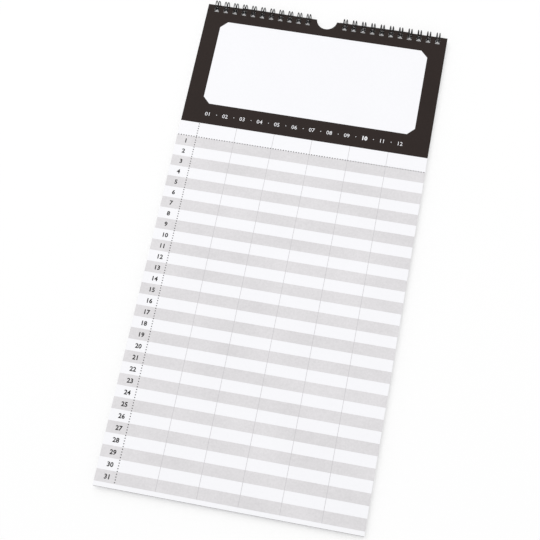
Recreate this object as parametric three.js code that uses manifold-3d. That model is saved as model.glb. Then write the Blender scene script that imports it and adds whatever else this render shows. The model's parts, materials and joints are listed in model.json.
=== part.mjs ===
// Wall calendar for a family: thirteen printed leaves and a stiff back board, bound at the top
// by two combs of twin wire loops, with a wire hanger lying inside the loops.
// Millimetres, Z up. It lies on its back as in use on a table: the front looks up, the bound
// edge is towards +Y, and October is open on top. The leaves of the months before it are turned
// over to the back, so they lie behind the board.
import * as THREE from "three";
import { mergeVertices } from "three/addons/utils/BufferGeometryUtils.js";
import Module from "manifold-3d";

const wasm = await Module();
wasm.setup();

// sheet sizes
const pageWidth = 220;
const pageHeight = 450;
const paperThickness = 0.1;
const boardThickness = 0.5;
const sheetGap = 0.05;

// thumb notch in the bound edge, part of a circle whose centre is a little above the edge
const notchRadius = 9.15;
const notchRise = 0.65;

// binding: loops sit on one pitch, counted out from the middle of the page
const pitch = 25.4 / 3;
const firstLoop = 2;
const lastLoop = 12;
const bindingWire = 0.85;
const loopRadius = 3.95;
const loopWidth = 2.8;
const tipWidth = loopWidth / 2;
const edgeToAxis = 0.7;
const holeWidth = 4;
const holeHeight = 5;
const edgeToHole = 2;

// how far round its circle a loop's leg starts, ends and closes, in degrees from the seam
const legTurn = { start: 29, end: 343, tip: 355 };

// seam of a comb: the straight wire between two loops, in its own gap behind the board
const seamRadius = 5.3;
const seamClearance = 0.06;
const seamCorner = 0.45;

// hanger
const hangerWire = 1.1;
const hangerLength = 153.5;
const hangerShift = -1.25;
const hangerBow = 0.22;
const hookHalfWidth = 12.5;
const hookDepth = 13.5;
const hookCorner = 2.2;
const hookBend = 0.6;
const hookClearance = 0.12;

// smoothness
const notchSteps = 12;
const loopSteps = 15;
const bindingSides = 6;
const hangerSides = 8;
const armSteps = 14;
const cornerSteps = 4;
const hookSteps = 16;

// heights are counted from the axis of the loops, which runs through the middle of the seam gap
const seamGap = bindingWire + 2 * seamClearance;
const boardBottom = seamGap / 2;
const sheetPitch = paperThickness + sheetGap;
const turnedMonths = ["january", "february", "march", "april", "may", "june", "july", "august", "september"];
const backLeaves = ["cover_leaf", ...turnedMonths.map((month) => `${month}_leaf`)];
const frontLeaves = ["december_leaf", "november_leaf", "october_leaf"];
const backFace = -seamGap / 2 - backLeaves.length * sheetPitch + sheetGap;

const looks = {
  paper: { color: 0xf4f5f8, roughness: 0.62, metalness: 0 },
  cover: { color: 0x322e2c, roughness: 0.55, metalness: 0 },
  board: { color: 0x8d8780, roughness: 0.85, metalness: 0 },
  wire: { color: 0x121212, roughness: 0.28, metalness: 0.35 },
};

const piece = (name, geometry, look) => {
  const mesh = new THREE.Mesh(geometry, new THREE.MeshStandardMaterial(looks[look]));
  mesh.name = name;
  return mesh;
};

// distance of each loop from the middle of the page
const loopPlaces = () =>
  Array.from({ length: lastLoop - firstLoop + 1 }, (_, i) => (firstLoop + i) * pitch);

// outline of a sheet, with its bound edge at edgeToAxis below the axis and its thumb notch
const sheetOutline = () => {
  const top = -edgeToAxis;
  const bottom = top - pageHeight;
  const side = pageWidth / 2;
  const half = Math.acos(notchRise / notchRadius);
  const outline = [[-side, bottom], [side, bottom], [side, top]];
  for (let i = 0; i <= notchSteps; i += 1) {
    const angle = half - (2 * half * i) / notchSteps;
    outline.push([notchRadius * Math.sin(angle), top + notchRise - notchRadius * Math.cos(angle)]);
  }
  outline.push([-side, top]);
  return new THREE.Shape(outline.map(([x, y]) => new THREE.Vector2(x, y)));
};

const solid = (geometry) => {
  geometry.deleteAttribute("normal");
  geometry.deleteAttribute("uv");
  const merged = mergeVertices(geometry);
  return new wasm.Manifold(new wasm.Mesh({
    numProp: 3,
    vertProperties: new Float32Array(merged.attributes.position.array),
    triVerts: new Uint32Array(merged.index.array),
  }));
};

const geometryOf = (cut) => {
  const mesh = cut.getMesh();
  const geometry = new THREE.BufferGeometry();
  geometry.setAttribute("position", new THREE.BufferAttribute(mesh.vertProperties, 3));
  geometry.setIndex(new THREE.BufferAttribute(mesh.triVerts, 1));
  return geometry;
};

// a sheet with the two rows of holes for the loops
const sheetGeometry = (thickness) => {
  let cut = solid(new THREE.ExtrudeGeometry(sheetOutline(), { depth: thickness, bevelEnabled: false }));
  const holeMiddle = -edgeToAxis - edgeToHole - holeHeight / 2;
  for (const place of loopPlaces()) {
    for (const x of [-place, place]) {
      const hole = new THREE.BoxGeometry(holeWidth, holeHeight, 3 * thickness);
      cut = cut.subtract(solid(hole.translate(x, holeMiddle, thickness / 2)));
    }
  }
  return geometryOf(cut);
};

const sheet = (name, thickness, height, look) => {
  const mesh = piece(name, sheetGeometry(thickness), look);
  mesh.position.z = height;
  return mesh;
};

// A bent wire whose cross-sections stand exactly at the given points.
class WirePath extends THREE.Curve {
  constructor(points) {
    super();
    this.points = points;
  }

  getUtoTmapping(u) {
    return u;
  }

  getPoint(t, target = new THREE.Vector3()) {
    const place = Math.min(Math.max(t, 0), 1) * (this.points.length - 1);
    const i = Math.min(Math.floor(place), this.points.length - 2);
    return target.lerpVectors(this.points[i], this.points[i + 1], place - i);
  }

  getTangent(t, target = new THREE.Vector3()) {
    const i = Math.round(Math.min(Math.max(t, 0), 1) * (this.points.length - 1));
    const here = this.points[i];
    const before = this.points[Math.max(i - 1, 0)];
    const after = this.points[Math.min(i + 1, this.points.length - 1)];
    const arriving = new THREE.Vector3().subVectors(here, before).normalize();
    const leaving = new THREE.Vector3().subVectors(after, here).normalize();
    return target.addVectors(arriving, leaving).normalize();
  }
}

const wire = (points, diameter, sides) => {
  const corners = Array.from({ length: sides }, (_, i) => {
    const angle = (2 * Math.PI * i) / sides;
    return new THREE.Vector2(Math.cos(angle), Math.sin(angle)).multiplyScalar(diameter / 2);
  });
  return new THREE.ExtrudeGeometry(new THREE.Shape(corners), {
    steps: points.length - 1,
    extrudePath: new WirePath(points),
  });
};

// A point on a loop: angle 0 is at the seam, and the wire climbs to the front from there.
const onLoop = (x, angle) =>
  new THREE.Vector3(x, -loopRadius * Math.cos(angle), loopRadius * Math.sin(angle));

// One half of a loop, from the seam round the front and the back of the page to its closed tip.
const halfLoop = (x, side) => {
  const leg = x + (side * loopWidth) / 2;
  const start = THREE.MathUtils.degToRad(legTurn.start);
  const end = THREE.MathUtils.degToRad(legTurn.end);
  const tip = THREE.MathUtils.degToRad(legTurn.tip);
  const seam = new THREE.Vector3(leg, -seamRadius, 0);
  const climb = new THREE.Vector3().subVectors(onLoop(leg, start), seam).setLength(seamCorner);
  const points = [seam.clone().add(new THREE.Vector3(side * seamCorner, 0, 0)), seam.clone().add(climb)];
  for (let i = 0; i <= loopSteps; i += 1) {
    points.push(onLoop(leg, THREE.MathUtils.lerp(start, end, i / loopSteps)));
  }
  points.push(onLoop(x + (side * tipWidth) / 2, tip));
  return points;
};

// A comb is one wire: seam, loop, seam, loop, and a cut end of seam past its outer loops.
const comb = (name, side) => {
  const places = loopPlaces().map((place) => side * place).sort((a, b) => a - b);
  const endSeam = (x, out) => new THREE.Vector3(x + (out * pitch) / 2, -seamRadius, 0);
  const points = [endSeam(places[0], -1)];
  for (const x of places) {
    points.push(...halfLoop(x, -1), ...halfLoop(x, 1).reverse());
  }
  points.push(endSeam(places[places.length - 1], 1));
  return piece(name, wire(points, bindingWire, bindingSides), "wire");
};

// The hanger: two slightly bowed arms on the axis, each bent down past the edge of the leaves
// and back under them into a round hook. One half is built, and the other is its mirror image.
const hanger = () => {
  const hookLevel = backFace - hookClearance - hangerWire / 2;
  const armEnd = hookHalfWidth + hookCorner;
  const half = [];
  for (let i = 0; i <= armSteps; i += 1) {
    const along = i / armSteps;
    const x = THREE.MathUtils.lerp(hangerLength / 2, armEnd, along);
    half.push(new THREE.Vector3(x, hangerBow * Math.cos(Math.PI * along), 0));
  }
  for (let i = 1; i <= cornerSteps; i += 1) {
    const angle = ((Math.PI / 2) * i) / cornerSteps;
    const y = -hangerBow * Math.cos(angle);
    half.push(new THREE.Vector3(armEnd - hookCorner * Math.sin(angle), y, (Math.cos(angle) - 1) * hangerWire));
  }
  for (let i = 0; i <= cornerSteps; i += 1) {
    const angle = ((Math.PI / 2) * i) / cornerSteps;
    const y = hookBend * (Math.cos(angle) - 1);
    half.push(new THREE.Vector3(hookHalfWidth, y, hookLevel + hookBend * (1 - Math.sin(angle))));
  }
  for (let i = 1; i <= hookSteps / 2; i += 1) {
    const angle = (Math.PI * i) / hookSteps;
    const y = -hookBend - (hookDepth - hookBend) * Math.sin(angle);
    half.push(new THREE.Vector3(hookHalfWidth * Math.cos(angle), y, hookLevel));
  }
  const mirrored = half.slice(0, -1).reverse().map((p) => new THREE.Vector3(-p.x, p.y, p.z));
  const mesh = piece("hanger_wire", wire([...half, ...mirrored], hangerWire, hangerSides), "wire");
  mesh.position.x = hangerShift;
  return mesh;
};

// everything is placed about the axis of the loops first
const calendar = new THREE.Group();
calendar.name = "family_calendar";
calendar.add(sheet("back_board", boardThickness, boardBottom, "board"));
frontLeaves.forEach((name, i) => {
  const height = boardBottom + boardThickness + sheetGap + i * sheetPitch;
  calendar.add(sheet(name, paperThickness, height, "paper"));
});
backLeaves.forEach((name, i) => {
  const height = -seamGap / 2 - paperThickness - i * sheetPitch;
  calendar.add(sheet(name, paperThickness, height, name === "cover_leaf" ? "cover" : "paper"));
});
calendar.add(comb("wire_comb_left", -1));
calendar.add(comb("wire_comb_right", 1));
calendar.add(hanger());

// the origin is then put under the middle of the whole calendar, on the surface it lies on
const box = new THREE.Box3().setFromObject(calendar);
calendar.position.set(0, -(box.min.y + box.max.y) / 2, -box.min.z);

export default calendar;
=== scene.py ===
import json
import math
import bpy
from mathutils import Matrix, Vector


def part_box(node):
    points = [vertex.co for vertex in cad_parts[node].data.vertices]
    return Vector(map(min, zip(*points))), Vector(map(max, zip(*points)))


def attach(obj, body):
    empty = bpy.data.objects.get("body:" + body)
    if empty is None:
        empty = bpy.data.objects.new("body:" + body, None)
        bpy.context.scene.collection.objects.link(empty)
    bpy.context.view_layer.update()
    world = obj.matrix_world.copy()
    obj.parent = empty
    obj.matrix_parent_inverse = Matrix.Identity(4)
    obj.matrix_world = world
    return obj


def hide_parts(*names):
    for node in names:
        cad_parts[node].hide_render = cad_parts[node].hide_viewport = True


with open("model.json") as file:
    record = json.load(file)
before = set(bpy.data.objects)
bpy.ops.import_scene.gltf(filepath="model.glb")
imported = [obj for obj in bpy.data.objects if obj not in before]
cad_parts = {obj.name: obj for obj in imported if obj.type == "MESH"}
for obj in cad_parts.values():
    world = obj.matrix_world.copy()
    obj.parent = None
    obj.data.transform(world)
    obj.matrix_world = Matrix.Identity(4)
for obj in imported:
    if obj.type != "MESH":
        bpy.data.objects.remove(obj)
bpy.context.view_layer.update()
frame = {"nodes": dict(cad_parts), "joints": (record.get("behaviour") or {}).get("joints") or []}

mm = 0.001
nodes = frame["nodes"]

# months in the order of the year, with the days that each leaf has rows for
monthDays = {
    "january": 31, "february": 29, "march": 31, "april": 30, "may": 31, "june": 30,
    "july": 31, "august": 31, "september": 30, "october": 31, "november": 30, "december": 31,
}

# the axis of the loops is the hinge line of every leaf
axis = Vector(frame["joints"][0]["pos_m"])


def linearColor(red, green, blue):
    def channel(v):
        v = v / 255
        return v / 12.92 if v <= 0.04045 else ((v + 0.055) / 1.055) ** 2.4
    return (channel(red), channel(green), channel(blue), 1)


def addNode(tree, kind, x, y, **inputs):
    node = tree.nodes.new(kind)
    node.location = (x, y)
    for name, value in inputs.items():
        node.inputs[name.replace("_", " ")].default_value = value
    return node


def newMaterial(name):
    material = bpy.data.materials.new(name)
    material.use_nodes = True
    shader = material.node_tree.nodes["Principled BSDF"]
    return material, material.node_tree, shader


paperLook = {
    "white": (248, 248, 251),
    "headerInk": (40, 31, 28),
    "bandInk": (222, 220, 222),
    "lineInk": (198, 196, 199),
    "dotInk": (52, 48, 47),
    "numberInk": (26, 22, 21),
    "fibreScale": 2200,      # fine tooth of the sheet, per metre
    "speckScale": 620,       # specks in the ink, per metre
    "cloudScale": 22,        # slow unevenness of the pulp
    "tone": 0.012,           # how far the tone wanders
    "noiseRange": (0.3, 0.7),
    "tooth": 0.00001,        # height of the tooth in metres
    "toothStrength": 0.35,
}


def printedPaper(name, color, roughness, sheen=0.3, mottle=1.0):
    # tooth and slow tone of coated planner paper, with ink of one colour over it
    look = paperLook
    material, tree, shader = newMaterial(name)
    place = addNode(tree, "ShaderNodeTexCoord", -1100, 0)
    fibre = addNode(tree, "ShaderNodeTexNoise", -880, 120, Scale=look["fibreScale"], Detail=3)
    speck = addNode(tree, "ShaderNodeTexNoise", -880, 340, Scale=look["speckScale"], Detail=4)
    cloud = addNode(tree, "ShaderNodeTexNoise", -880, -140, Scale=look["cloudScale"], Detail=4)
    low, high = look["noiseRange"]
    flecks = addNode(tree, "ShaderNodeMapRange", -660, 120, From_Min=low, From_Max=high)
    clouds = addNode(tree, "ShaderNodeMapRange", -660, -140, From_Min=low, From_Max=high)
    both = addNode(tree, "ShaderNodeMath", -460, 0)
    both.operation = "ADD"
    flat = linearColor(*color)
    tones = addNode(tree, "ShaderNodeValToRGB", -260, 60)
    spread = look["tone"] * mottle
    tones.color_ramp.elements[0].color = [v * (1 - spread) for v in flat[:3]] + [1]
    tones.color_ramp.elements[1].color = [min(v * (1 + spread), 1) for v in flat[:3]] + [1]
    half = addNode(tree, "ShaderNodeMath", -360, 200)
    half.operation = "MULTIPLY"
    half.inputs[1].default_value = 0.5
    bump = addNode(tree, "ShaderNodeBump", -260, -260, Strength=look["toothStrength"], Distance=look["tooth"])
    links = tree.links
    links.new(place.outputs["Object"], fibre.inputs["Vector"])
    links.new(place.outputs["Object"], cloud.inputs["Vector"])
    links.new(place.outputs["Object"], speck.inputs["Vector"])
    links.new(speck.outputs["Fac"], flecks.inputs["Value"])
    links.new(cloud.outputs["Fac"], clouds.inputs["Value"])
    links.new(flecks.outputs["Result"], both.inputs[0])
    links.new(clouds.outputs["Result"], both.inputs[1])
    links.new(both.outputs["Value"], half.inputs[0])
    links.new(half.outputs["Value"], tones.inputs["Fac"])
    links.new(tones.outputs["Color"], shader.inputs["Base Color"])
    links.new(fibre.outputs["Fac"], bump.inputs["Height"])
    links.new(bump.outputs["Normal"], shader.inputs["Normal"])
    shader.inputs["Roughness"].default_value = roughness
    shader.inputs["Specular IOR Level"].default_value = sheen
    return material


whitePaper = printedPaper("whitePaper", paperLook["white"], 0.6)
headerInk = printedPaper("headerInk", paperLook["headerInk"], 0.55, sheen=0.12, mottle=12)
bandInk = printedPaper("bandInk", paperLook["bandInk"], 0.6, mottle=7)
lineInk = printedPaper("lineInk", paperLook["lineInk"], 0.6)
dotInk = printedPaper("dotInk", paperLook["dotInk"], 0.6, sheen=0.15)
numberInk = printedPaper("numberInk", paperLook["numberInk"], 0.6, sheen=0.15)
whiteInk = printedPaper("whiteInk", paperLook["white"], 0.5)

boardLook = {
    "color": (222, 219, 214), "fleck": (196, 192, 186), "fleckEnd": 0.33, "colorStart": 0.52,
    "fibreScale": 900, "fibreStretch": (1, 0.35, 1),
    "bumpStrength": 0.5, "bumpHeight": 0.00003, "roughness": 0.9,
}


def greyBoardMaterial():
    # pale recycled board: long fibres and darker flecks
    material, tree, shader = newMaterial("greyBoard")
    place = addNode(tree, "ShaderNodeTexCoord", -1000, 0)
    stretch = addNode(tree, "ShaderNodeMapping", -820, 0, Scale=boardLook["fibreStretch"])
    fibre = addNode(tree, "ShaderNodeTexNoise", -620, 60, Scale=boardLook["fibreScale"], Detail=5)
    tones = addNode(tree, "ShaderNodeValToRGB", -380, 60)
    tones.color_ramp.elements[0].position = boardLook["fleckEnd"]
    tones.color_ramp.elements[0].color = linearColor(*boardLook["fleck"])
    tones.color_ramp.elements[1].position = boardLook["colorStart"]
    tones.color_ramp.elements[1].color = linearColor(*boardLook["color"])
    bump = addNode(tree, "ShaderNodeBump", -300, -220,
                   Strength=boardLook["bumpStrength"], Distance=boardLook["bumpHeight"])
    links = tree.links
    links.new(place.outputs["Object"], stretch.inputs["Vector"])
    links.new(stretch.outputs["Vector"], fibre.inputs["Vector"])
    links.new(fibre.outputs["Fac"], tones.inputs["Fac"])
    links.new(tones.outputs["Color"], shader.inputs["Base Color"])
    links.new(fibre.outputs["Fac"], bump.inputs["Height"])
    links.new(bump.outputs["Normal"], shader.inputs["Normal"])
    shader.inputs["Roughness"].default_value = boardLook["roughness"]
    return material


wireLook = {
    "color": (13, 13, 13), "scuff": (46, 45, 44), "rubScale": 420, "rubStart": 0.62, "rubEnd": 0.78,
    "rippleScale": 900, "rippleStrength": 0.2, "rippleHeight": 0.00002,
    "roughness": 0.22, "smoother": 0.06, "rougher": 0.12,
    "shine": 0.32, "coat": 0.12, "coatRoughness": 0.08,
}


def blackWireMaterial():
    # black nylon-coated steel: glossy, a little uneven, with a few pale rubs
    material, tree, shader = newMaterial("blackWire")
    place = addNode(tree, "ShaderNodeTexCoord", -1000, 0)
    rubs = addNode(tree, "ShaderNodeTexNoise", -780, 100, Scale=wireLook["rubScale"], Detail=5)
    ripple = addNode(tree, "ShaderNodeTexNoise", -780, -160, Scale=wireLook["rippleScale"], Detail=2)
    tones = addNode(tree, "ShaderNodeValToRGB", -520, 100)
    tones.color_ramp.elements[0].position = wireLook["rubStart"]
    tones.color_ramp.elements[0].color = linearColor(*wireLook["color"])
    tones.color_ramp.elements[1].position = wireLook["rubEnd"]
    tones.color_ramp.elements[1].color = linearColor(*wireLook["scuff"])
    gloss = addNode(tree, "ShaderNodeMapRange", -520, -60,
                    To_Min=wireLook["roughness"] - wireLook["smoother"],
                    To_Max=wireLook["roughness"] + wireLook["rougher"])
    bump = addNode(tree, "ShaderNodeBump", -300, -260,
                   Strength=wireLook["rippleStrength"], Distance=wireLook["rippleHeight"])
    links = tree.links
    links.new(place.outputs["Object"], rubs.inputs["Vector"])
    links.new(place.outputs["Object"], ripple.inputs["Vector"])
    links.new(rubs.outputs["Fac"], tones.inputs["Fac"])
    links.new(rubs.outputs["Fac"], gloss.inputs["Value"])
    links.new(tones.outputs["Color"], shader.inputs["Base Color"])
    links.new(gloss.outputs["Result"], shader.inputs["Roughness"])
    links.new(ripple.outputs["Fac"], bump.inputs["Height"])
    links.new(bump.outputs["Normal"], shader.inputs["Normal"])
    shader.inputs["Specular IOR Level"].default_value = wireLook["shine"]
    shader.inputs["Coat Weight"].default_value = wireLook["coat"]
    shader.inputs["Coat Roughness"].default_value = wireLook["coatRoughness"]
    return material


greyBoard = greyBoardMaterial()
blackWire = blackWireMaterial()
print("materials ready")

# the CAD sheets keep their shape and take paper or board
for nodeName, sheetObject in nodes.items():
    if nodeName.endswith("_leaf") or nodeName == "back_board":
        sheetObject.data.materials.clear()
        sheetObject.data.materials.append(greyBoard if nodeName == "back_board" else whitePaper)
print("sheets dressed")

# the print of one leaf, in millimetres from its left edge and its bound edge
pageLook = {
    "headerDepth": 120.2,
    "panelLeft": 15.2, "panelRight": 204.9, "panelTop": 16.1, "panelBottom": 100.2, "panelCorner": 6.2,
    "stripTop": 108.4, "stripHeight": 3.8, "stripLeft": 19.7, "stripStep": 15.62,
    "stripBold": 0.0, "stripOwnBold": 0.22, "stripDotPlace": 10.6, "stripDot": 0.6,
    "firstRow": 134.0, "rowPitch": 10.07, "dayLine": 17.05,
    "personLine": 50.7, "personPitch": 33.7, "people": 5,
    "numberLeft": 7.3, "numberHeight": 4.0, "numberBold": 0.17,
    "lineWidth": 0.34, "dotPitch": 2.3, "dotSize": 0.84,
    "inkHeight": 0.014, "letteringHeight": 0.03,
}
bindingLook = {
    "pitch": 25.4 / 3, "firstLoop": 2, "lastLoop": 12, "loopRadius": 3.875, "farRadius": 3.5, "flatness": 2.5,
    "lean": 0.0875, "wire": 0.84, "loopWidth": 2.5,
    "legStart": 29, "legEnd": 343, "tip": 355, "tipShare": 0.4,
    "seamRadius": 5.3, "seamCorner": 0.45, "loopSteps": 40, "cornerSteps": 4, "wireSmoothness": 3,
    "holeWidth": 4, "holeHeight": 5, "edgeToHole": 2, "notchRadius": 9.15, "notchRise": 0.65, "notchSteps": 28,
}


def loopPlaces():
    binding = bindingLook
    outward = [binding["pitch"] * i for i in range(binding["firstLoop"], binding["lastLoop"] + 1)]
    return sorted([-x for x in outward] + outward)


lettering = {"digitShare": 0.729, "curveSteps": 2}  # how tall a digit is in its font size


class Page:
    # turns page millimetres into the frame's metres on the face of one leaf
    def __init__(self, nodeName):
        self.low, self.high = (Vector(corner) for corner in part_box(nodeName))
        self.width = (self.high.x - self.low.x) / mm
        self.height = (self.high.y - self.low.y) / mm

    def at(self, x, down, lift=0.0):
        return Vector((self.low.x + x * mm, self.high.y - down * mm, self.high.z + lift * mm))


def flatFill(name, outlines):
    # a flat filled shape; inner outlines are holes
    curve = bpy.data.curves.new(name, "CURVE")
    curve.dimensions = "2D"
    curve.fill_mode = "BOTH"
    for outline in outlines:
        spline = curve.splines.new("POLY")
        spline.points.add(len(outline) - 1)
        spline.use_cyclic_u = True
        for point, (x, y) in zip(spline.points, outline):
            point.co = (x, y, 0, 1)
    holder = bpy.data.objects.new(name, curve)
    mesh = bpy.data.meshes.new_from_object(holder)
    bpy.data.objects.remove(holder)
    bpy.data.curves.remove(curve)
    return mesh


def textFill(name, body, height, bold):
    # numbers as flat filled shapes of a given digit height, in millimetres, from the built-in font
    curve = bpy.data.curves.new(name, "FONT")
    curve.body = body
    curve.size = height / lettering["digitShare"]
    curve.resolution_u = lettering["curveSteps"]
    curve.offset = bold
    holder = bpy.data.objects.new(name, curve)
    mesh = bpy.data.meshes.new_from_object(holder)
    bpy.data.objects.remove(holder)
    bpy.data.curves.remove(curve)
    return mesh


class Print:
    # gathers flat shapes of several inks into one mesh
    def __init__(self, page):
        self.page = page
        self.points, self.faces, self.inks, self.materials = [], [], [], []

    def ink(self, material):
        if material not in self.materials:
            self.materials.append(material)
        return self.materials.index(material)

    def block(self, x0, x1, down0, down1, material, lift):
        start = len(self.points)
        corners = ((x0, down1), (x1, down1), (x1, down0), (x0, down0))
        self.points += [self.page.at(x, down, lift) for x, down in corners]
        self.faces.append(tuple(range(start, start + 4)))
        self.inks.append(self.ink(material))

    def dot(self, x, down, size, material, lift):
        half = size / 2
        self.block(x - half, x + half, down - half, down + half, material, lift)

    def shape(self, mesh, x, down, material, lift):
        # mesh is in millimetres with y up; x and down place its origin on the page
        start = len(self.points)
        flip = mesh.polygons[0].normal.z < 0
        for vertex in mesh.vertices:
            self.points.append(self.page.at(x + vertex.co.x, down - vertex.co.y, lift))
        for face in mesh.polygons:
            corners = [start + i for i in face.vertices]
            self.faces.append(tuple(reversed(corners)) if flip else tuple(corners))
            self.inks.append(self.ink(material))

    def finished(self, name):
        mesh = bpy.data.meshes.new(name)
        mesh.from_pydata(self.points, [], self.faces)
        for material in self.materials:
            mesh.materials.append(material)
        mesh.polygons.foreach_set("material_index", self.inks)
        piece = bpy.data.objects.new(name, mesh)
        bpy.context.scene.collection.objects.link(piece)
        return piece


def boundEdgeOutline(page, bottom):
    # left, bottom and right sides of the printed area, and the bound edge with its thumb notch
    binding = bindingLook
    middle = page.width / 2
    half = math.acos(binding["notchRise"] / binding["notchRadius"])
    outline = [(0, -bottom), (page.width, -bottom), (page.width, 0)]
    for i in range(binding["notchSteps"] + 1):
        angle = half - 2 * half * i / binding["notchSteps"]
        y = binding["notchRise"] - binding["notchRadius"] * math.cos(angle)
        outline.append((middle + binding["notchRadius"] * math.sin(angle), y))
    outline.append((0, 0))
    return outline


def bindingHoles(page):
    binding = bindingLook
    holes = []
    for place in loopPlaces():
        left = page.width / 2 + place - binding["holeWidth"] / 2
        right = left + binding["holeWidth"]
        top = -binding["edgeToHole"]
        bottom = top - binding["holeHeight"]
        holes.append([(left, bottom), (left, top), (right, top), (right, bottom)])
    return holes


def octagon(left, right, top, bottom, corner):
    return [
        (left + corner, -top), (right - corner, -top), (right, -top - corner), (right, -bottom + corner),
        (right - corner, -bottom), (left + corner, -bottom), (left, -bottom + corner), (left, -top - corner),
    ]


def panelOutline():
    names = ("panelLeft", "panelRight", "panelTop", "panelBottom", "panelCorner")
    return octagon(*(pageLook[name] for name in names))


def middleOf(mesh):
    across = [vertex.co.x for vertex in mesh.vertices]
    return (min(across) + max(across)) / 2


def dottedLine(sheetPrint, start, end):
    # start and end are (x, down); the dots are small squares
    look = pageLook
    length = math.hypot(end[0] - start[0], end[1] - start[1])
    count = round(length / look["dotPitch"])
    for i in range(count):
        share = (i + 0.5) / count
        x = start[0] + (end[0] - start[0]) * share
        down = start[1] + (end[1] - start[1]) * share
        sheetPrint.dot(x, down, look["dotSize"], dotInk, look["letteringHeight"])


def stripOfMonths(sheetPrint, current):
    # twelve month numbers in one line under the panel; the leaf's own number is the bold one
    look = pageLook
    for i in range(len(monthDays)):
        bold = look["stripOwnBold"] if i + 1 == current else look["stripBold"]
        number = textFill("monthNumber", f"{i + 1:02d}", look["stripHeight"], bold)
        x = look["stripLeft"] + look["stripStep"] * i
        sheetPrint.shape(number, x, look["stripTop"] + look["stripHeight"], whiteInk, look["letteringHeight"])
        if i + 1 < len(monthDays):
            sheetPrint.dot(x + look["stripDotPlace"], look["stripTop"] + look["stripHeight"] / 2,
                           look["stripDot"], whiteInk, look["letteringHeight"])


def monthPrint(month, number, days):
    look = pageLook
    page = Page(f"{month}_leaf")
    sheetPrint = Print(page)
    edge = boundEdgeOutline(page, look["headerDepth"])
    header = flatFill("header", [edge, panelOutline()] + bindingHoles(page))
    sheetPrint.shape(header, 0, 0, headerInk, look["inkHeight"])
    lastDown = look["firstRow"] + look["rowPitch"] * days
    for day in range(0, days, 2):
        top = look["firstRow"] + look["rowPitch"] * day
        sheetPrint.block(0, page.width, top, top + look["rowPitch"], bandInk, look["inkHeight"])
    half = look["lineWidth"] / 2
    for i in range(look["people"]):
        x = look["personLine"] + look["personPitch"] * i
        sheetPrint.block(x - half, x + half, look["headerDepth"], lastDown, lineInk, look["letteringHeight"])
    dottedLine(sheetPrint, (0, look["firstRow"]), (page.width, look["firstRow"]))
    dottedLine(sheetPrint, (look["dayLine"], look["headerDepth"]), (look["dayLine"], lastDown))
    for day in range(1, days + 1):
        digits = textFill("dayNumber", str(day), look["numberHeight"], look["numberBold"])
        down = look["firstRow"] + look["rowPitch"] * (day - 0.5) + look["numberHeight"] / 2
        sheetPrint.shape(digits, look["numberLeft"], down, numberInk, look["letteringHeight"])
    stripOfMonths(sheetPrint, number)
    piece = sheetPrint.finished(f"{month}_print")
    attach(piece, month)


for monthNumber, (month, days) in enumerate(monthDays.items(), 1):
    monthPrint(month, monthNumber, days)
print("twelve months printed")

coverLook = {
    "tile": 42, "tileGap": 9.4, "columns": 3, "firstTile": 190, "corner": 8, "rule": 1.2,
    "numberHeight": 12, "numberBold": 0.1,
}


def coverPrint():
    # dark cover with a pale panel and one plain tile for each month
    look = coverLook
    page = Page("cover_leaf")
    sheetPrint = Print(page)
    edge = boundEdgeOutline(page, page.height)
    ground = flatFill("coverGround", [edge, panelOutline()] + bindingHoles(page))
    sheetPrint.shape(ground, 0, 0, headerInk, pageLook["inkHeight"])
    span = look["columns"] * look["tile"] + (look["columns"] - 1) * look["tileGap"]
    left = (page.width - span) / 2
    lift = pageLook["letteringHeight"]
    rule = look["rule"]
    for i in range(len(monthDays)):
        x = left + (i % look["columns"]) * (look["tile"] + look["tileGap"])
        down = look["firstTile"] + (i // look["columns"]) * (look["tile"] + look["tileGap"])
        right, bottom = x + look["tile"], down + look["tile"]
        tile = octagon(x, right, down, bottom, look["corner"])
        inner = octagon(x + rule, right - rule, down + rule, bottom - rule, look["corner"] - rule / 2)
        sheetPrint.shape(flatFill("tile", [tile, inner]), 0, 0, bandInk, lift)
        number = textFill("tileNumber", str(i + 1), look["numberHeight"], look["numberBold"])
        base = (down + bottom + look["numberHeight"]) / 2
        sheetPrint.shape(number, (x + right) / 2 - middleOf(number), base, whiteInk, lift)
    piece = sheetPrint.finished("cover_print")
    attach(piece, "cover")


coverPrint()
print("cover printed")


def wirePiece(name, points, diameter, node, body):
    # a round wire through points in millimetres about the axis of the loops
    curve = bpy.data.curves.new(name, "CURVE")
    curve.dimensions = "3D"
    curve.bevel_depth = diameter / 2 * mm
    curve.bevel_resolution = bindingLook["wireSmoothness"]
    curve.use_fill_caps = True
    spline = curve.splines.new("POLY")
    spline.points.add(len(points) - 1)
    for point, place in zip(spline.points, points):
        point.co = (*(axis + Vector(place) * mm), 1)
    holder = bpy.data.objects.new(name, curve)
    mesh = bpy.data.meshes.new_from_object(holder)
    bpy.data.objects.remove(holder)
    bpy.data.curves.remove(curve)
    mesh.name = name
    mesh.polygons.foreach_set("use_smooth", [True] * len(mesh.polygons))
    mesh.materials.clear()
    mesh.materials.append(blackWire)
    piece = bpy.data.objects.new(name, mesh)
    bpy.context.scene.collection.objects.link(piece)
    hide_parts(node)
    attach(piece, body)


def onLoop(x, angle):
    # a loop leans sideways, and it is round on the page's side and a little flatter past the edge
    binding = bindingLook
    across, up = -math.cos(angle), math.sin(angle)
    radius = binding["loopRadius"]
    if across > 0:
        power = binding["flatness"]
        radius = ((across / binding["farRadius"]) ** power + (abs(up) / radius) ** power) ** (-1 / power)
    return Vector((x - binding["lean"] * radius * up, radius * across, radius * up))


def roundedCorner(start, corner, end, steps):
    # points of a smooth bend from start to end that leans towards the corner
    bend = []
    for i in range(steps + 1):
        t = i / steps
        bend.append(start * (1 - t) ** 2 + corner * 2 * t * (1 - t) + end * t ** 2)
    return bend


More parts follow.
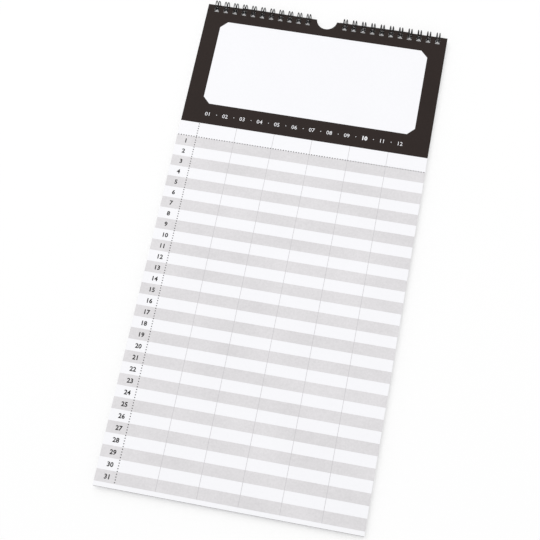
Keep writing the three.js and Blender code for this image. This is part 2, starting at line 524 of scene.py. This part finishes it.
def halfLoop(x, side):
    # from the seam round the front and the back of the page to the closed tip
    binding = bindingLook
    leg = x + side * binding["loopWidth"] / 2
    start, end, tip = (math.radians(binding[name]) for name in ("legStart", "legEnd", "tip"))
    seam = Vector((leg, -binding["seamRadius"], 0))
    climb = (onLoop(leg, start) - seam).normalized()
    before = seam + Vector((side * binding["seamCorner"], 0, 0))
    after = seam + climb * binding["seamCorner"]
    points = roundedCorner(before, seam, after, binding["cornerSteps"])
    for i in range(binding["loopSteps"] + 1):
        points.append(onLoop(leg, start + (end - start) * i / binding["loopSteps"]))
    crossing = onLoop(leg, tip)
    tipEnd = crossing.lerp(onLoop(x, tip), binding["tipShare"])
    return points + roundedCorner(onLoop(leg, end), crossing, tipEnd, binding["cornerSteps"])[1:]


def comb(node, side):
    places = sorted(x for x in loopPlaces() if x * side > 0)
    reach = bindingLook["pitch"] / 2
    points = [Vector((places[0] - reach, -bindingLook["seamRadius"], 0))]
    for x in places:
        points += halfLoop(x, -1) + halfLoop(x, 1)[::-1]
    points.append(Vector((places[-1] + reach, -bindingLook["seamRadius"], 0)))
    wirePiece(f"{node}_dressed", points, bindingLook["wire"], node, "spine")


comb("wire_comb_left", -1)
comb("wire_comb_right", 1)
print("combs wound")

hangerLook = {
    "wire": 1.1, "length": 153.5, "shift": -1.25, "bow": 0.22, "hookHalfWidth": 12.5, "hookDepth": 13.5,
    "hookCorner": 2.2, "hookBend": 0.6, "hookClearance": 0.12,
    "armSteps": 40, "cornerSteps": 8, "hookSteps": 48,
}


def hanger():
    look = hangerLook
    stackBack = (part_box("september_leaf")[0][2] - axis.z) / mm
    hookLevel = stackBack - look["hookClearance"] - look["wire"] / 2
    armEnd = look["hookHalfWidth"] + look["hookCorner"]
    half = []
    for i in range(look["armSteps"] + 1):
        along = i / look["armSteps"]
        x = look["length"] / 2 + (armEnd - look["length"] / 2) * along
        half.append(Vector((x, look["bow"] * math.cos(math.pi * along), 0)))
    for i in range(1, look["cornerSteps"] + 1):
        angle = math.pi / 2 * i / look["cornerSteps"]
        half.append(Vector((armEnd - look["hookCorner"] * math.sin(angle), -look["bow"] * math.cos(angle),
                            (math.cos(angle) - 1) * look["wire"])))
    for i in range(look["cornerSteps"] + 1):
        angle = math.pi / 2 * i / look["cornerSteps"]
        half.append(Vector((look["hookHalfWidth"], look["hookBend"] * (math.cos(angle) - 1),
                            hookLevel + look["hookBend"] * (1 - math.sin(angle)))))
    for i in range(1, look["hookSteps"] // 2 + 1):
        angle = math.pi * i / look["hookSteps"]
        y = -look["hookBend"] - (look["hookDepth"] - look["hookBend"]) * math.sin(angle)
        half.append(Vector((look["hookHalfWidth"] * math.cos(angle), y, hookLevel)))
    mirrored = [Vector((-p.x, p.y, p.z)) for p in half[-2::-1]]
    points = [p + Vector((look["shift"], 0, 0)) for p in half + mirrored]
    wirePiece("hanger_dressed", points, look["wire"], "hanger_wire", "hanger")


hanger()
print("hanger bent")

# studio: pale floor whose glow carries painted shade near the pieces, soft light all round and one large lamp
studioLook = {
    "floorSize": 60.0, "floorColor": (255, 255, 255), "floorRoughness": 0.9,
    "cameraWhite": 0.6,      # how much of the floor's white doesn't depend on the light
    "paintedShadeReach": 0.005,     # how near a piece shades that white, in metres
    "worldStrength": 0.72, "lampPower": 4.5, "lampSize": 1.4, "lampPlace": (-0.5, 1.0, 1.5),
    "skyPower": 0.66, "skyAngle": 50, "skyPlace": (-0.6, 0.5, 1.8),
}


def studioFloor():
    look = studioLook
    size = look["floorSize"] / 2
    mesh = bpy.data.meshes.new("studioFloor")
    corners = [(-size, -size, 0), (size, -size, 0), (size, size, 0), (-size, size, 0)]
    mesh.from_pydata(corners, [], [(0, 1, 2, 3)])
    floor = bpy.data.objects.new("studioFloor", mesh)
    bpy.context.scene.collection.objects.link(floor)
    material, tree, shader = newMaterial("paleFloor")
    shader.inputs["Base Color"].default_value = linearColor(*look["floorColor"])
    shader.inputs["Roughness"].default_value = look["floorRoughness"]
    shader.inputs["Specular IOR Level"].default_value = 0.0
    output = tree.nodes["Material Output"]
    rays = addNode(tree, "ShaderNodeLightPath", -600, 300)
    direct = addNode(tree, "ShaderNodeMath", -400, 300)
    direct.operation = "MAXIMUM"
    seen = addNode(tree, "ShaderNodeMath", -200, 300)
    seen.operation = "MULTIPLY"
    seen.inputs[1].default_value = look["cameraWhite"]
    glow = addNode(tree, "ShaderNodeEmission", 0, -300, Color=(1, 1, 1, 1), Strength=1.0)
    mixed = addNode(tree, "ShaderNodeMixShader", 200, 0)
    tree.links.new(rays.outputs["Is Camera Ray"], direct.inputs[0])
    tree.links.new(rays.outputs["Is Glossy Ray"], direct.inputs[1])
    # painted shade: ambient occlusion darkens the floor's glow for camera and glossy rays under and around the
    # pieces
    paintedShadeFactor = addNode(tree, "ShaderNodeAmbientOcclusion", -400, 100, Distance=look["paintedShadeReach"])
    glowAfterPaintedShade = addNode(tree, "ShaderNodeMath", -300, 200)
    glowAfterPaintedShade.operation = "MULTIPLY"
    tree.links.new(direct.outputs["Value"], glowAfterPaintedShade.inputs[0])
    tree.links.new(paintedShadeFactor.outputs["AO"], glowAfterPaintedShade.inputs[1])
    tree.links.new(glowAfterPaintedShade.outputs["Value"], seen.inputs[0])
    tree.links.new(seen.outputs["Value"], mixed.inputs["Fac"])
    tree.links.new(shader.outputs["BSDF"], mixed.inputs[1])
    tree.links.new(glow.outputs["Emission"], mixed.inputs[2])
    tree.links.new(mixed.outputs["Shader"], output.inputs["Surface"])
    mesh.materials.append(material)


def hangLight(name, light, place):
    holder = bpy.data.objects.new(name, light)
    holder.location = place
    holder.rotation_euler = (-Vector(place)).to_track_quat("-Z", "Y").to_euler()
    bpy.context.scene.collection.objects.link(holder)


def studioLight():
    look = studioLook
    world = bpy.data.worlds.new("studioWorld")
    bpy.context.scene.world = world
    world.use_nodes = True
    tree = world.node_tree
    ground = tree.nodes["Background"]
    ground.inputs["Color"].default_value = (1, 1, 1, 1)
    rays = addNode(tree, "ShaderNodeLightPath", -800, 200)
    direct = addNode(tree, "ShaderNodeMath", -600, 200)
    direct.operation = "MAXIMUM"
    strength = addNode(tree, "ShaderNodeMapRange", -300, 100, To_Min=look["worldStrength"], To_Max=1.0)
    tree.links.new(rays.outputs["Is Camera Ray"], direct.inputs[0])
    tree.links.new(rays.outputs["Is Glossy Ray"], direct.inputs[1])
    tree.links.new(direct.outputs["Value"], strength.inputs["Value"])
    tree.links.new(strength.outputs["Result"], ground.inputs["Strength"])
    lamp = bpy.data.lights.new("softLamp", "AREA")
    lamp.energy = look["lampPower"]
    lamp.size = look["lampSize"]
    hangLight("softLamp", lamp, look["lampPlace"])
    sky = bpy.data.lights.new("wideLight", "SUN")
    sky.energy = look["skyPower"]
    sky.angle = math.radians(look["skyAngle"])
    hangLight("wideLight", sky, look["skyPlace"])


cameraLook = {
    "place": (0.1079, -0.36859, 0.99748), "turn": (19.978, 2.579, 11.04),
    "lens": 83.333, "sensor": 36, "nearest": 0.01,
}


def studioCamera():
    look = cameraLook
    lens = bpy.data.cameras.new("studioCamera")
    lens.lens = look["lens"]
    lens.sensor_width = look["sensor"]
    lens.clip_start = look["nearest"]
    camera = bpy.data.objects.new("studioCamera", lens)
    camera.location = look["place"]
    camera.rotation_euler = [math.radians(v) for v in look["turn"]]
    bpy.context.scene.collection.objects.link(camera)
    bpy.context.scene.camera = camera


studioFloor()
studioLight()
studioCamera()
bpy.context.scene.view_settings.view_transform = "Standard"
print("studio set")
